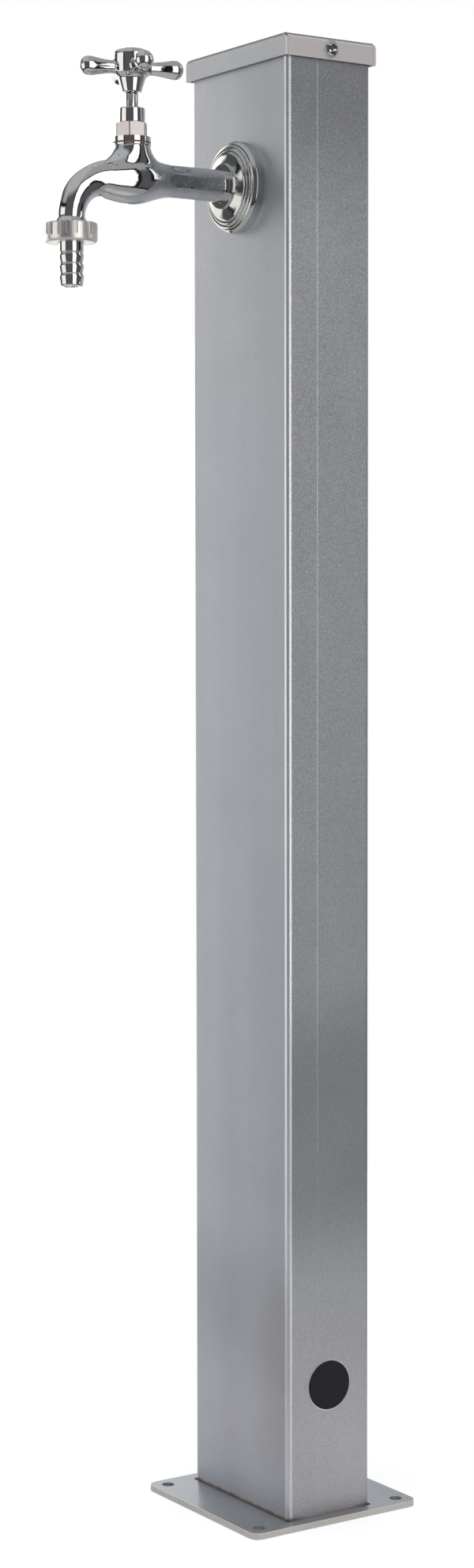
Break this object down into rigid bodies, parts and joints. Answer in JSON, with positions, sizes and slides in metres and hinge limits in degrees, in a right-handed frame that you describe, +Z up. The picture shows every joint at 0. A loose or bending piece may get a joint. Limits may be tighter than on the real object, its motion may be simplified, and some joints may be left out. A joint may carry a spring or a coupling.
{
  "type": "garden tap fountain",
  "caption": "Free-standing steel post on a bolt-down plate, with a cross-handled bib tap, a knurled hose nut and a barbed hose tail near its top.",
  "frame": {"origin": "centre of the base plate's underside", "axes": "+Z up the post, -Y out of the side with the tap, +X to the side with the inlet plug"},
  "size_m": [0.13, 0.2385, 0.95],
  "materials": {
    "plate_steel": "satin",
    "post_steel": "brushed",
    "lid_steel": "satin",
    "weld_steel": "heat tinted",
    "screw_steel": "bright",
    "chrome": "polished",
    "satin_nickel": "satin",
    "brass": "machined",
    "fibre": "matte",
    "rubber": "matte",
    "packing": "matte",
    "black_plastic": "matte",
    "riser_steel": "drawn tube"
  },
  "bodies": {
    "post_and_tap": {"base_plate": "plate_steel", "post": "post_steel", "foot_weld": "weld_steel", "lid": "lid_steel", "lid_screws": "screw_steel", "lid_nuts": "screw_steel", "wall_rosette": "chrome", "tap_body": "chrome", "bonnet_washer": "fibre", "bonnet": "satin_nickel", "gland_packing": "packing", "gland_nut": "chrome", "wall_elbow": "brass", "elbow_washer": "rubber", "elbow_locknut": "brass", "riser_pipe": "riser_steel", "riser_top_nut": "brass", "riser_top_olive": "brass", "riser_foot_nut": "brass", "riser_foot_olive": "brass", "inlet_connector": "brass", "riser_brackets": "screw_steel"},
    "valve": {"jumper_valve": "brass", "valve_washer": "rubber", "valve_washer_nut": "brass"},
    "spindle_and_handle": {"spindle": "chrome", "cross_handle": "chrome", "handle_screw": "screw_steel", "handle_cap": "chrome"},
    "hose_tail": {"hose_tail": "chrome", "tail_gasket": "rubber"},
    "hose_nut": {"hose_nut": "satin_nickel"},
    "plug": {"inlet_plug": "black_plastic"}
  },
  "joints": [
    {"name": "valve_lift", "type": "slide", "parent": "post_and_tap", "child": "valve", "axis": [0, 0, 1], "range_m": [0, 0.006]},
    {"name": "handle_turn", "type": "hinge", "parent": "valve", "child": "spindle_and_handle", "pos_m": [0, -0.1125, 0.9], "axis": [0, 0, 1], "range_deg": [0, 1080]},
    {"name": "nut_drop", "type": "slide", "parent": "post_and_tap", "child": "hose_tail", "axis": [0, 0, -1], "range_m": [0, 0.00544]},
    {"name": "nut_turn", "type": "hinge", "parent": "hose_tail", "child": "hose_nut", "pos_m": [0, -0.157, 0.82], "axis": [0, 0, -1], "range_deg": [0, 1080]},
    {"name": "plug_pull", "type": "slide", "parent": "post_and_tap", "child": "plug", "axis": [1, 0, 0], "range_m": [0, 0.03]}
  ],
  "couplings": [
    {"joint": "handle_turn", "follows": "valve_lift", "rad_per_m": 3141.6},
    {"joint": "nut_turn", "follows": "nut_drop", "rad_per_m": 3463.7}
  ]
}
